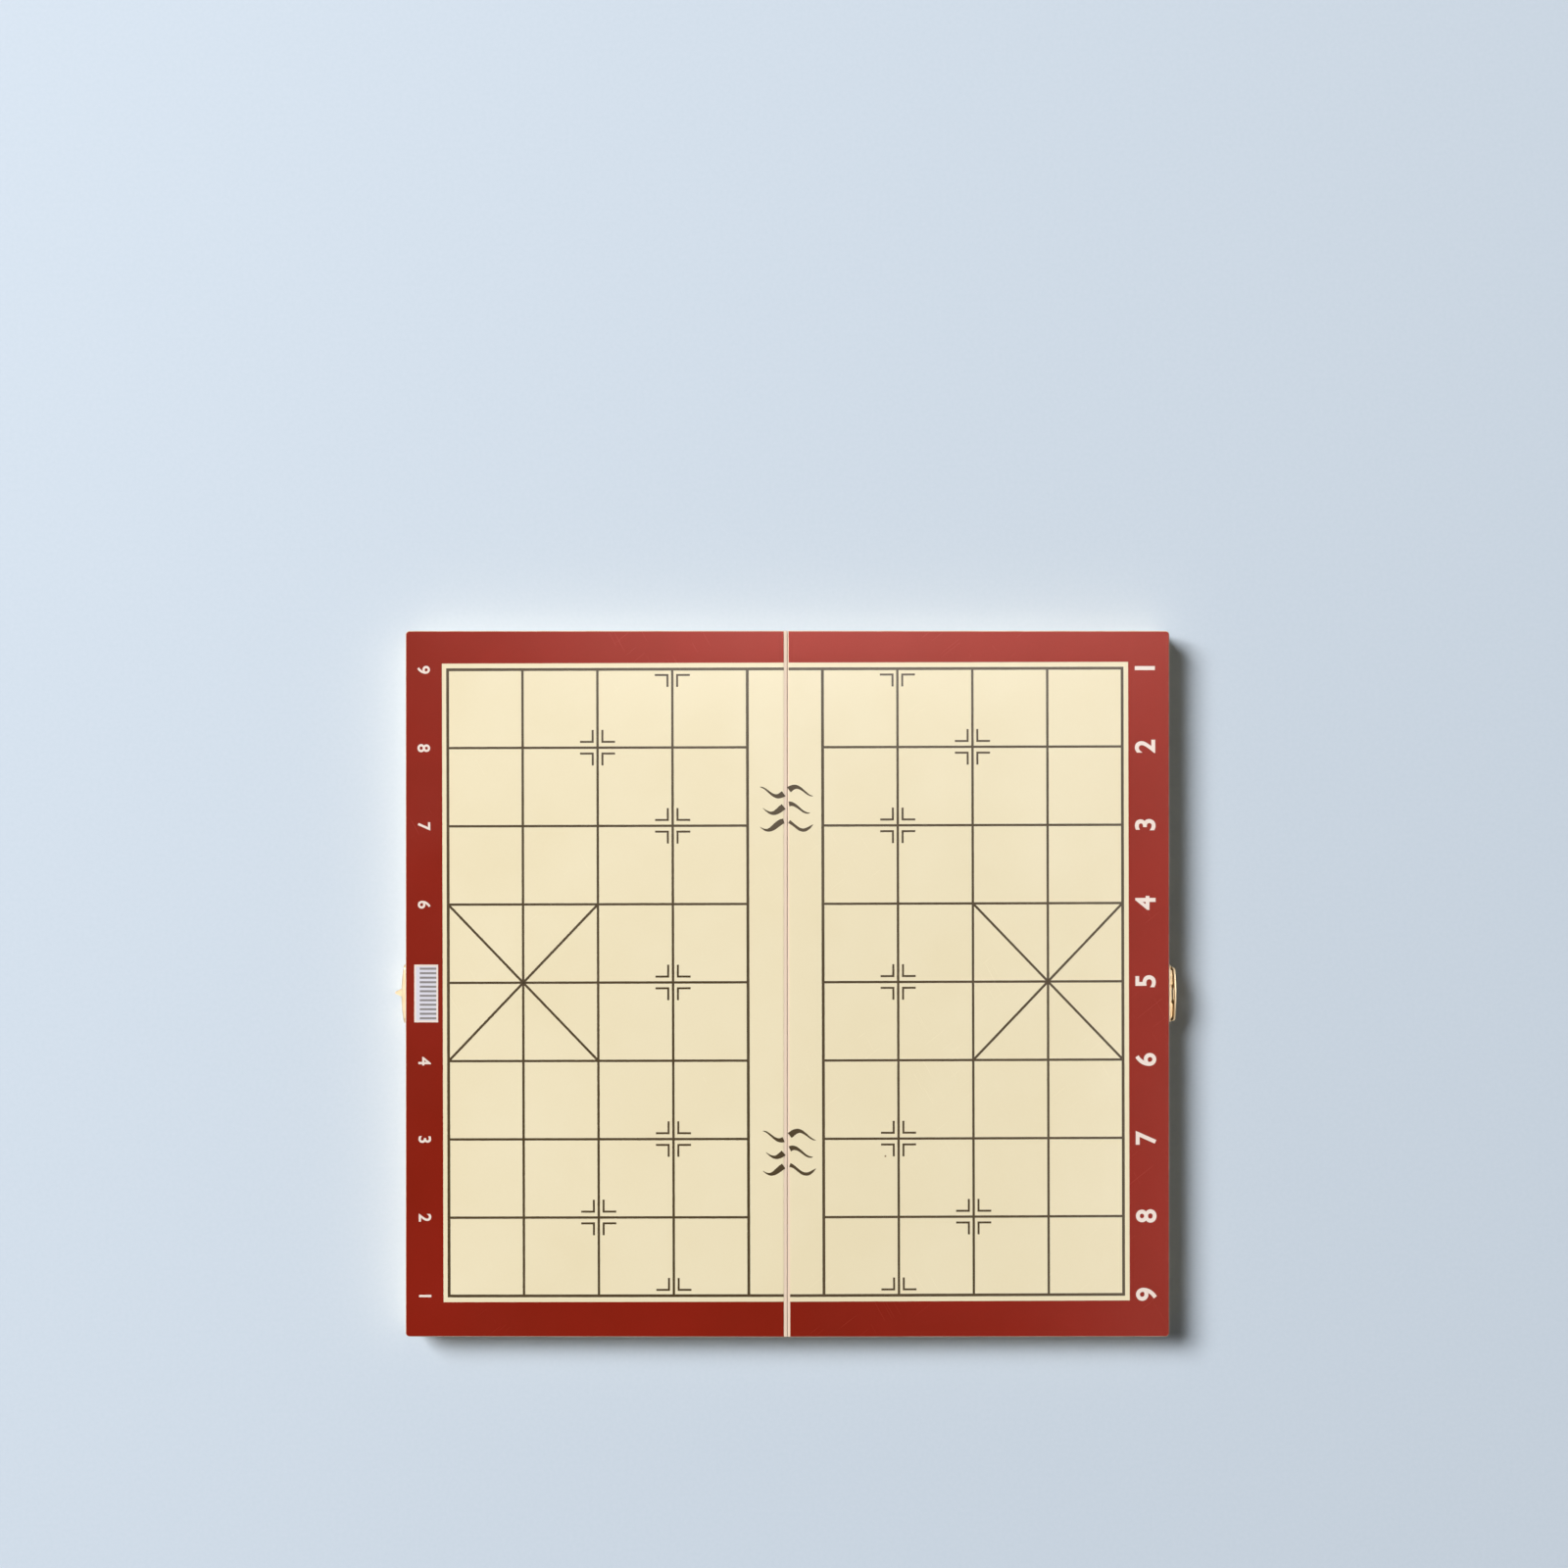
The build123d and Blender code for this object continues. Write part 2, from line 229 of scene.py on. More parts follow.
def grid_faces(rows, columns):
    """Quads of a closed tube: row by row, each column joined to the next one round."""
    row, column = np.meshgrid(np.arange(rows - 1), np.arange(columns), indexing="ij")
    after = (column + 1) % columns
    quads = [row * columns + column, row * columns + after,
             (row + 1) * columns + after, (row + 1) * columns + column]
    return np.stack(quads, axis=-1).reshape(-1, 4)


def slab(outline, side, low, high):
    """Flat plate of an outline that runs anticlockwise: the outline at two heights, its wall
    and the two caps."""
    outline = np.asarray(outline, float)
    count = len(outline)
    rings = [on_tray(side, outline[:, 0], outline[:, 1], height) for height in (low, high)]
    faces = grid_faces(2, count).tolist()
    faces.append(list(range(count - 1, -1, -1)))
    faces.append(list(range(count, 2 * count)))
    return np.concatenate(rings), faces


def ribbons(paths, widths, side, low, high):
    """Inked strokes: a flat bar carried along each path. Each station is the path's point moved
    both ways along the mitre by half the width, and the ends are closed by quads."""
    paths = np.asarray(paths, float)
    step = np.diff(paths, axis=1)
    step /= np.linalg.norm(step, axis=2, keepdims=True)
    before = np.concatenate([step[:, :1], step], axis=1)
    after = np.concatenate([step, step[:, -1:]], axis=1)
    mitre = before + after
    mitre /= np.linalg.norm(mitre, axis=2, keepdims=True)
    lengthen = np.sum(mitre * before, axis=2, keepdims=True)
    square = np.stack([-mitre[..., 1], mitre[..., 0]], axis=-1) / lengthen
    reach = square * np.asarray(widths, float)[..., None] / 2
    left, right = paths + reach, paths - reach
    corners = [(left, high), (left, low), (right, low), (right, high)]
    ring = np.stack([on_tray(side, p[..., 0], p[..., 1], h) for p, h in corners], axis=2)
    strokes, stations = paths.shape[:2]
    one = grid_faces(stations, 4)[:, ::-1]
    last = 4 * (stations - 1)
    caps = np.array([[0, 1, 2, 3], [last + 3, last + 2, last + 1, last]])
    faces = np.concatenate([one, caps])
    shift = np.arange(strokes)[:, None, None] * stations * 4
    return ring, (faces[None] + shift).reshape(-1, 4).tolist()


def aligned(points):
    """Points of the print's own layout, turned by print_turn about the board's middle."""
    points = np.asarray(points, float)
    x, y = points[..., 0], points[..., 1]
    return np.stack([x - print_turn * y, y + print_turn * x], axis=-1)


def straight(starts, ends):
    """Paths of straight strokes."""
    return np.stack([np.asarray(starts, float), np.asarray(ends, float)], axis=1)


def rank_x(side_name, index):
    """Place across the board of a rank, counted outwards from the river."""
    side = SIDES[side_name]
    return print_shift[side_name][0] + side * (river_half + np.asarray(index) * rank_pitch)


def file_y(side_name, index):
    """Place along the board of a file, counted from the middle one."""
    return print_shift[side_name][1] + np.asarray(index) * file_pitch


def seam_reach(side_name, y):
    """Distance of a sheet's spine edge from the hinge axis, straight between its two ends."""
    far, near = sheet_spine[side_name]
    end = half_length - sheet_margin
    return near + (far - near) * (np.asarray(y) + end) / (2 * end)


def sheet_outline(side_name, cut=()):
    """Outline of the printed sheet: two round outer corners, and a straight spine edge that a
    cut, given as outward distance and y, may step in from."""
    turn = np.linspace(0, pi / 2, corner_steps + 1)
    outer = half_width - sheet_margin - sheet_corner
    end = half_length - sheet_margin - sheet_corner
    sine, cosine = sheet_corner * np.sin(turn), sheet_corner * np.cos(turn)
    near = np.stack([outer + sine, -end - cosine], axis=1)
    far = np.stack([outer + cosine, end + sine], axis=1)
    spine = [[seam_reach(side_name, y), y] for y in (end + sheet_corner, -end - sheet_corner)]
    outline = np.array([*near, *far, spine[0], *cut, spine[1]])
    outline[:, 0] *= SIDES[side_name]
    return outline[::SIDES[side_name]]


def border_outline(side_name):
    """Outline of the red border: the sheet's, cut in round the field."""
    side = SIDES[side_name]
    corners = [(field_edge[side_name], field_far), (field_edge[side_name], field_near)]
    far, near = aligned(corners) * (side, 1)
    far_seam, near_seam = ([seam_reach(side_name, y), y] for y in (field_far, field_near))
    return sheet_outline(side_name, [far_seam, far, near, near_seam])


# ---------------------------------------------------------------- materials


def linear(hex_colour):
    """sRGB hex colour as linear RGBA."""
    channels = np.array([int(hex_colour[i:i + 2], 16) for i in (1, 3, 5)]) / 255
    low = channels / 12.92
    high = ((channels + 0.055) / 1.055) ** 2.4
    return (*np.where(channels <= 0.04045, low, high), 1.0)


def node(tree, kind, settings=None, **links):
    """Adds a node. Settings name its properties, or its inputs by name or number. Links name an
    input, with underscores for spaces or as i and its number, and give the socket that feeds it."""
    added = tree.nodes.new("ShaderNode" + kind)
    for key, value in (settings or {}).items():
        if isinstance(key, str) and hasattr(added, key):
            setattr(added, key, value)
        else:
            added.inputs[key].default_value = value
    for key, socket in links.items():
        name = int(key[1:]) if key[0] == "i" and key[1:].isdigit() else key.replace("_", " ")
        tree.links.new(socket, added.inputs[name])
    return added


def noise(tree, place, size, detail):
    """Grey noise with a pattern of the given size in metres."""
    settings = {"Scale": 1 / size, "Detail": detail}
    return node(tree, "TexNoise", settings, Vector=place).outputs["Fac"]


def maths(tree, operation, first, second, third=None):
    """Result of a sum on sockets. The second and third may be plain numbers."""
    terms = {1: second, 2: third}
    plain = {key: term for key, term in terms.items() if isinstance(term, float)}
    fed = {f"i{key}": term for key, term in terms.items() if key not in plain and term is not None}
    return node(tree, "Math", {"operation": operation, **plain}, i0=first, **fed).outputs[0]


def new_material(name):
    """An empty node material and its tree."""
    material = bpy.data.materials.new(name)
    material.use_nodes = True
    tree = material.node_tree
    tree.nodes.clear()
    return material, tree


def ramp(tree, fac, stops):
    """Colour ramp of (place, hex or grey) stops."""
    added = node(tree, "ValToRGB", Fac=fac)
    elements = added.color_ramp.elements
    while len(elements) < len(stops):
        elements.new(0.5)
    for element, (place, colour) in zip(elements, stops):
        element.position = place
        element.color = linear(colour) if isinstance(colour, str) else (colour,) * 3 + (1.0,)
    return added.outputs["Color"]


def surface(tree, colour, roughness, normal, **settings):
    """Principled surface with the given colour, roughness and normal sockets."""
    values = {key.replace("_", " "): value for key, value in settings.items()}
    return node(tree, "BsdfPrincipled", values, Base_Color=colour, Roughness=roughness,
                Normal=normal).outputs["BSDF"]


def finish_material(tree, colour, roughness, normal, **settings):
    """Makes a principled surface the material's own."""
    node(tree, "OutputMaterial", Surface=surface(tree, colour, roughness, normal, **settings))


def laminated_print(name, ink, worn_ink, speck=0.0, sheen="#ffffff", level=0.5):
    """Offset-printed paper under clear gloss film. The film gives an even, slightly wavy gloss
    with fine rubbing, and the ink under it is a little uneven. The sheen is tinted where the ink
    bronzes. A speck's radius is a share of its 24 mm cell, and one cell in six has one."""
    material, tree = new_material(name)
    place = node(tree, "TexCoord").outputs["Object"]
    mottle = noise(tree, place, 0.045, 4.0)
    grit = noise(tree, place, 0.0011, 2.0)
    blend = maths(tree, "MULTIPLY_ADD", grit, 0.25, mottle)
    colour = ramp(tree, blend, [(0.42, ink), (0.82, worn_ink)])
    if speck:
        cells = node(tree, "TexVoronoi", {"Scale": 1 / 0.024, "Randomness": 1.0}, Vector=place)
        dot = maths(tree, "LESS_THAN", cells.outputs["Distance"], speck)
        chance = node(tree, "SeparateColor", Color=cells.outputs["Color"]).outputs["Red"]
        mask = maths(tree, "MULTIPLY", dot, maths(tree, "LESS_THAN", chance, 0.16))
        colour = node(tree, "Mix", {"data_type": "RGBA", 7: linear("#8a7350")},
                      i0=mask, i6=colour).outputs[2]
    # rubbing marks: hairlines 0.5 mm wide and 30 mm long at two slants
    hairs = []
    for angle, seed in ((0.5, 0.0), (-0.9, 0.3)):
        slanted = node(tree, "Mapping", {"vector_type": "TEXTURE", "Location": (seed, seed, 0),
                                         "Rotation": (0, 0, angle), "Scale": (0.0005, 0.03, 1.0)},
                       Vector=place)
        streak = noise(tree, slanted.outputs[0], 1.0, 1.0)
        hairs.append(ramp(tree, streak, [(0.70, 0.0), (0.76, 1.0)]))
    rubbed = maths(tree, "MAXIMUM", *hairs)
    even = node(tree, "MapRange", {"From Min": 0.3, "From Max": 0.7, "To Min": 0.22,
                                   "To Max": 0.27}, Value=noise(tree, place, 0.06, 3.0))
    rough = maths(tree, "MULTIPLY_ADD", rubbed, 0.02, even.outputs[0])
    fine = node(tree, "Bump", {"Strength": 0.10, "Distance": 0.00004},
                Height=noise(tree, place, 0.004, 2.0))
    broad = node(tree, "Bump", {"Strength": 0.5, "Distance": 0.00012},
                 Height=noise(tree, place, 0.035, 1.0), Normal=fine.outputs[0])
    finish_material(tree, colour, rough, broad.outputs[0], IOR=1.57, Specular_IOR_Level=level,
                    Specular_Tint=linear(sheen))
    return material


def wood(name, along, pale, dark, ring=0.0032, centre=(0.020, 0.0, -0.042), profile="SAW",
         ply=None):
    """Softwood or veneer under a thin lacquer. Rings about an axis that runs with the grain give
    long lines on the faces and arcs on the ends, with fine fibres between them. The wave's
    period is pi over ten times its scale. Ply is the period of the layers seen on an edge."""
    material, tree = new_material(name)
    place = node(tree, "TexCoord").outputs["Object"]
    stretch = [1.0, 1.0, 1.0]
    stretch["XYZ".index(along)] = 0.06
    drawn_out = node(tree, "Mapping", {"Scale": stretch}, Vector=place).outputs[0]
    sway = node(tree, "TexNoise", {"Scale": 1 / 0.020, "Detail": 3.0}, Vector=drawn_out)
    shift = node(tree, "VectorMath", {"operation": "MULTIPLY_ADD", 1: (0.009, 0.009, 0.009),
                                      2: centre}, i0=sway.outputs["Color"])
    ring_place = node(tree, "VectorMath", {"operation": "ADD"}, i0=drawn_out, i1=shift.outputs[0])
    rings = node(tree, "TexWave", {"wave_type": "RINGS", "rings_direction": along,
                                   "wave_profile": profile, "Scale": pi / (10 * ring)},
                 Vector=ring_place.outputs[0])
    fibre = noise(tree, drawn_out, 0.0007, 3.0)
    mixed = maths(tree, "MULTIPLY_ADD", fibre, 0.45, rings.outputs["Fac"])
    grain = maths(tree, "MULTIPLY", mixed, 0.7)
    colour = ramp(tree, grain, [(0.10, pale), (0.60, pale), (0.92, dark)])
    if ply:
        layers = node(tree, "TexWave", {"wave_type": "BANDS", "bands_direction": "Z",
                                        "Scale": pi / (10 * ply)}, Vector=place)
        tone = ramp(tree, layers.outputs["Fac"], [(0.2, 0.90), (0.8, 1.0)])
        colour = node(tree, "Mix", {"data_type": "RGBA", "blend_type": "MULTIPLY", 0: 1.0},
                      i6=colour, i7=tone).outputs[2]
    rough = ramp(tree, grain, [(0.2, 0.42), (0.9, 0.58)])
    bump = node(tree, "Bump", {"Strength": 0.35, "Distance": 0.00008}, Height=grain)
    finish_material(tree, colour, rough, bump.outputs[0], IOR=1.5)
    return material


def plated_metal(name, bright, dull, roughness, grain_along=None):
    """Bright electroplate over a pressed or cast part. The plating mirrors softly, with fine
    rubbing from handling and slightly dull patches. The rubbing is drawn out along the grain."""
    material, tree = new_material(name)
    place = node(tree, "TexCoord").outputs["Object"]
    colour = ramp(tree, noise(tree, place, 0.006, 4.0), [(0.35, bright), (0.75, dull)])
    # rubbing marks 0.4 mm wide, and thirty times as long where there is a grain
    density = [1 / 0.0004 / 30 if axis == grain_along else 1 / 0.0004 for axis in "XYZ"]
    rub_place = node(tree, "Mapping", {"Scale": density}, Vector=place)
    rub = noise(tree, rub_place.outputs[0], 1.0, 2.0)
    rough = node(tree, "MapRange", {"From Min": 0.3, "From Max": 0.75, "To Min": roughness,
                                    "To Max": roughness + 0.12}, Value=rub)
    bump = node(tree, "Bump", {"Strength": 0.12, "Distance": 0.00001}, Height=rub)
    finish_material(tree, colour, rough.outputs[0], bump.outputs[0], Metallic=1.0)
    return material


cream = laminated_print("laminated_cream_print", "#f1e4c1", "#eee0bb", speck=0.022)
red = laminated_print("laminated_red_print", "#8c1f0f", "#841e0c", sheen="#ffa099", level=0.7)
ink = laminated_print("laminated_dark_ink", "#4a3b22", "#554630")
white = laminated_print("laminated_white_print", "#f3e3d8", "#ecdccf")
field_grey = laminated_print("laminated_pale_grey_print", "#dfdce6", "#d8d5df")
stripe_grey = laminated_print("laminated_grey_stripes", "#85807f", "#938d8c")
rail_wood_y = wood("lacquered_pine_along_y", "Y", "#e8cfa4", "#c79f68")
rail_wood_x = wood("lacquered_pine_along_x", "X", "#e6cca0", "#c59c66",
                   centre=(0.0, 0.032, -0.05))
panel_wood = wood("pale_plywood", "Y", "#ebd4bd", "#dfc2a3", ring=0.011, centre=(0.0, 0.0, 0.19),
                  profile="SIN", ply=0.001)
hinge_brass = plated_metal("brass_plated_strip", "#e7c37a", "#cfa356", 0.24, grain_along="Y")
clasp_brass = plated_metal("brass_plated_casting", "#f7e0bc", "#f0d5a8", 0.34)
screw_brass = plated_metal("brass_plated_screw", "#e2bd74", "#c79b50", 0.26)
steel = plated_metal("drawn_steel_wire", "#b9b6b0", "#94918b", 0.28, grain_along="Y")

# Finishes of the solids by the ends of their names, the first that fits. The rest are the clasp's.
finishes = (
    ("_panel", panel_wood),
    (("outer_rail", "spine_rail"), rail_wood_y),
    ("_rail", rail_wood_x),
    ("_leaf", hinge_brass),
    ("_pin", steel),
    ("_screws", screw_brass),
    ("_film", cream),
    ("", clasp_brass),
)
for name, cad_node in frame["nodes"].items():
    fitting = [finish for ending, finish in finishes if name.endswith(ending)]
    cad_node.material_slots[0].material = fitting[0]


# ---------------------------------------------------------------- the print


def print_piece(side_name, part, shape, material):
    """Piece of one side's print, given as points and faces."""
    points, faces = shape
    body = f"{side_name}_half"
    return piece(f"{side_name}_{part}", points, faces, body, material)


def print_area(side_name, part, outline, thickness, material):
    """Area of ink on the sheet."""
    area = slab(outline, SIDES[side_name], sheet_top, sheet_top + thickness)
    print_piece(side_name, part, area, material)


def print_strokes(side_name, part, paths, widths, thickness, material):
    """Strokes of ink on the sheet."""
    strokes = ribbons(paths, widths, SIDES[side_name], sheet_top, sheet_top + thickness)
    print_piece(side_name, part, strokes, material)


def grid_strokes(side_name):
    """Ranks and files of one half, each as paths and widths. The outer rank, the river's bank and
    the two outer files are as wide as the frame, and those files run on to the seam."""
    side = SIDES[side_name]
    ranks = np.arange(rank_count)
    files = np.arange(-file_half_count, file_half_count + 1)
    x, y = rank_x(side_name, ranks), file_y(side_name, files)
    bank, outer = x[0] - side * frame_width / 2, x[-1] + side * frame_width / 2
    rank_ends = [np.stack(np.broadcast_arrays(x, end), axis=1)
                 for end in (y[0] - frame_width / 2, y[-1] + frame_width / 2)]
    rank_widths = np.where((ranks == 0) | (ranks == rank_count - 1), frame_width, line_width)
    on_frame = np.abs(files) == file_half_count
    seam = side * seam_reach(side_name, y) + print_turn * y
    file_ends = [np.stack(np.broadcast_arrays(end, y), axis=1)
                 for end in (np.where(on_frame, seam, bank), outer)]
    file_widths = np.where(on_frame, frame_width, line_width)
    return ((straight(*rank_ends), rank_widths[:, None]),
            (straight(*file_ends), file_widths[:, None]))


def corner_marks(side_name):
    """L marks round the starting points: each path goes in along one arm, round the corner and
    out along the other. The marks on the frame have only their inward pair."""
    spots = [(rank, index) for rank, indices in mark_files.items() for index in indices]
    ways = [(across, along) for across in (-1, 1) for along in (-1, 1)]
    paths = []
    for (rank, index), (across, along) in product(spots, ways):
        if along * index == file_half_count:
            continue
        centre = np.array([rank_x(side_name, rank), file_y(side_name, index)])
        corner = centre + np.array([across, along]) * mark_gap
        arm_x = corner + (across * mark_arm[0], 0)
        arm_y = corner + (0, along * mark_arm[1])
        paths.append([arm_x, corner, arm_y])
    return np.array(paths)


def palace_strokes(side_name):
    """Two diagonals between the outer rank and the one two ranks in, over the middle files."""
    outer, inner = rank_x(side_name, rank_count - 1), rank_x(side_name, rank_count - 3)
    low, high = file_y(side_name, -1), file_y(side_name, 1)
    return straight([[outer, low], [outer, high]], [[inner, high], [inner, low]])


def ripple_strokes(side_name):
    """Brush strokes: each path is a sine wave across the river from the seam outwards, and its
    width swells from nothing at the tip to full at the middle."""
    side = SIDES[side_name]
    along = np.linspace(0, 1, ripple_steps)
    paths, widths = [], []
    for centre_x, centre_y in ripple_places:
        seam = side * seam_reach(side_name, centre_y) + print_turn * centre_y
        for number, row in enumerate(ripple_rows):
            reach = ripple_half - ripple_shorter * (number % 2)
            x = seam + along * (side * reach + centre_x - seam)
            local = x - centre_x
            phase = 2 * pi * local / ripple_wave + number * ripple_further
            paths.append(np.stack([x, centre_y + row + ripple_rise * np.sin(phase)], axis=1))
            full, soft = ripple_swell
            swell = np.clip(1 - (np.abs(local) / reach) ** full, 0, 1) ** soft
            press = ripple_press[0] + ripple_press[1] * np.cos(phase)
            widths.append(ripple_width * swell * press + ripple_tip_width)
    return np.array(paths), np.array(widths)


def patch_outline(inset):
    """Outline of the striped patch, drawn in by an inset."""
    left, low, right, high = np.array(patch) + np.array([1, 1, -1, -1]) * inset
    return [(left, low), (right, low), (right, high), (left, high)]


def stripe_strokes():
    """Equal stripes across the patch."""
    low, high = patch[1] + patch_frame, patch[3] - patch_frame
    y = low + (np.arange(stripe_count) + 0.5) * (high - low) / stripe_count
    right = patch[2] - patch_frame
    return straight(np.stack([np.full(stripe_count, stripe_left), y], axis=1),
                    np.stack([np.full(stripe_count, right), y], axis=1))


def number_mesh(text, height, weight):
    """A number lying flat as a closed mesh, centred on its own box. A bevel as wide as weight
    goes round the font's outline and makes it bolder. The depth only tells top from bottom."""
    curve = bpy.data.curves.new("number", "FONT")
    curve.body = text
    curve.size = height / figure_share
    curve.bevel_depth = weight
    curve.bevel_resolution = 0
    curve.extrude = 0.5
    curve.resolution_u = figure_steps
    holder = bpy.data.objects.new("number", curve)
    mesh = bpy.data.meshes.new_from_object(holder)
    bpy.data.objects.remove(holder)
    bpy.data.curves.remove(curve)
    solid = bmesh.new()
    solid.from_mesh(mesh)
    bmesh.ops.remove_doubles(solid, verts=solid.verts, dist=figure_merge)
    bmesh.ops.recalc_face_normals(solid, faces=solid.faces)
    solid.to_mesh(mesh)
    solid.free()
    points = np.array([vertex.co for vertex in mesh.vertices])
    points[:, :2] -= (points[:, :2].min(0) + points[:, :2].max(0)) / 2
    faces = [list(polygon.vertices) for polygon in mesh.polygons]
    bpy.data.meshes.remove(mesh)
    return points, faces


def file_numbers(side_name):
    """The nine files' numbers along the border, upright for the player at that side. The patch
    takes the middle one's place on the left."""
    side = SIDES[side_name]
    border_top = sheet_top + border_ink
    all_points, all_faces, count = [], [], 0
    for index in range(-file_half_count, file_half_count + 1):
        if side_name == "left" and index == 0:
            continue
        number = str(file_half_count + 1 - side * index)
        points, faces = number_mesh(number, number_height[side_name], number_weight[side_name])
        x = number_line[side_name] - side * points[:, 1]
        y = file_y(side_name, index) + side * points[:, 0]
        height = np.where(points[:, 2] > 0, border_top + number_above, border_top - number_below)
        x, y = aligned(np.stack([x, y], axis=-1)).T
        all_points.append(on_tray(side, x, y, height))
        all_faces += [[vertex + count for vertex in one] for one in faces]
        count += len(points)
    return np.concatenate(all_points), all_faces


for side_name, side in SIDES.items():
    sheet_shape = slab(sheet_outline(side_name), side, sheet_top - sheet_thickness, sheet_top)
    sheet = print_piece(side_name, "print_sheet", sheet_shape, cream)
    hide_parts(f"{side_name}_print_film")
    print_area(side_name, "red_border", border_outline(side_name), border_ink, red)
    (ranks, rank_widths), (files, file_widths) = grid_strokes(side_name)
    print_strokes(side_name, "rank_lines", aligned(ranks), rank_widths, rank_ink, ink)
    print_strokes(side_name, "file_lines", aligned(files), file_widths, file_ink, ink)
    marks = aligned(corner_marks(side_name))
    print_strokes(side_name, "corner_marks", marks, mark_width, mark_ink, ink)
    palace = aligned(palace_strokes(side_name))
    print_strokes(side_name, "palace_lines", palace, line_width, palace_ink, ink)
    ripples, ripple_widths = ripple_strokes(side_name)
    print_strokes(side_name, "river_ripples", aligned(ripples), ripple_widths, mark_ink, ink)
    print_piece(side_name, "file_numbers", file_numbers(side_name), white)

print_area("left", "white_patch", patch_outline(0.0), white_ink, white)
print_area("left", "grey_patch_field", patch_outline(patch_frame), field_ink, field_grey)
print_strokes("left", "patch_stripes", stripe_strokes(), stripe_width, stripe_ink, stripe_grey)


# ---------------------------------------------------------------- screws


def recess_bar(across, along):
    """How much of the recess's depth one bar of the cross takes: all of it inside, none outside
    and a slope between, given the distances across and along the bar."""
    sides = np.clip((recess_half - np.abs(across)) / recess_side + 0.5, 0, 1)
    ends = np.clip((recess_reach - np.abs(along)) / recess_end + 0.5, 0, 1)
    return sides * ends


def screw_surface(length):
    """Countersunk screw about its own Z, head face at zero and point down, as rings of a tube.
    The radius goes out over the head, in down the cone and along the shank, where a crest that
    climbs one pitch a turn makes the thread, and in to the point. The head's face sinks in a
    cross: two crossed bars, deepest in the middle."""
    turn = np.arange(screw_columns) * 2 * pi / screw_columns
    face_radius = np.linspace(flat_radius, head_radius - head_bevel, face_rings)
    shank = np.arange(0, length - head_depth - shank_margin, thread_pitch / pitch_rings)
    tip = np.linspace(0, 1, point_rings + 1)[1:]
    radius = np.concatenate([
        face_radius,
        [head_radius, head_radius, thread_radius],
        np.full(len(shank), core_radius),
        core_radius * (1 - tip) + flat_radius,
    ])[:, None]
    depth = np.concatenate([
        np.zeros(face_rings),
        [*bevel_depths, head_depth],
        head_depth + neck_length + shank,
        head_depth + neck_length + shank[-1] + point_length * tip,
    ])[:, None]
    crest = (0.5 + 0.5 * np.cos(2 * pi * depth / thread_pitch - turn)) ** crest_power
    fade = np.clip((length - depth) / point_length, 0, 1)
    thread = crest * (thread_radius - core_radius) * fade
    radius = radius + np.where(depth > head_depth + thread_start, thread, 0)
    x, y = radius * np.cos(turn), radius * np.sin(turn)
    cross = np.maximum(recess_bar(y, x), recess_bar(x, y))
    on_face = np.arange(len(radius))[:, None] < face_rings
    fall = 1 - recess_loss * radius / recess_reach
    sink = np.where(on_face, cross * recess_depth * fall, 0)
    return np.stack([x, y, -(depth + sink)], axis=-1)


def screws(name, cad_node, body, places, length):
    """A group of screws: one surface set at each place, given as its centre and three axes. The
    middle of the head and the point are closed by fans."""
    surface_rings = screw_surface(length)
    rows, columns = surface_rings.shape[:2]
    points = surface_rings.reshape(-1, 3)
    top, bottom = rows * columns, rows * columns + 1
    points = np.concatenate([points, [points[:columns].mean(0), points[-columns:].mean(0)]])
    around = np.arange(columns)
    after = (around + 1) % columns
    last = (rows - 1) * columns
    faces = grid_faces(rows, columns)[:, ::-1].tolist()
    faces += np.stack([np.full(columns, top), around, after], axis=1).tolist()
    faces += np.stack([np.full(columns, bottom), last + after, last + around], axis=1).tolist()
    all_points, all_faces = [], []
    for number, (centre, axes) in enumerate(places):
        all_points.append(np.asarray(centre) + points * MM @ np.asarray(axes))
        shift = number * len(points)
        all_faces += [[vertex + shift for vertex in one] for one in faces]
    made = piece(name, np.concatenate(all_points), all_faces, body, screw_brass,
                 smooth_angle=40.0)
    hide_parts(cad_node)


def turned(axis_z, axis_x, angle):
    """Three axes as rows: Z as given, X turned about it by an angle."""
    axis_z, axis_x = np.asarray(axis_z, float), np.asarray(axis_x, float)
    axis_y = np.cross(axis_z, axis_x)
    return [cos(angle) * axis_x + sin(angle) * axis_y,
            cos(angle) * axis_y - sin(angle) * axis_x,
            axis_z]


for side_name, side in SIDES.items():
    outwards = np.array([side * cos(lean), 0, -sin(lean)])
    upwards = np.array([side * sin(lean), 0, cos(lean)])
    first, step = leaf_screw_turn
    leaf_places = [(on_tray(side, side * leaf_screw_reach, y, leaf_screw_height),
                    turned(-upwards, outwards, first + step * number))
                   for number, y in enumerate(leaf_screw_spots)]
    screws(f"{side_name}_leaf_screws", f"{side_name}_hinge_screws", f"{side_name}_half",
           leaf_places, leaf_screw_length)
    first, step = plate_screw_turn
    plate_places = [(on_tray(side, side * plate_screw_reach, y, plate_screw_height[side_name]),
                     turned(outwards, upwards, first + step * number))
                    for number, y in enumerate(plate_screw_spots)]
    plate = plate_names[side_name]
    screws(f"{plate}_cross_screws", f"{plate}_screws", f"{side_name}_half", plate_places,
           plate_screw_length)


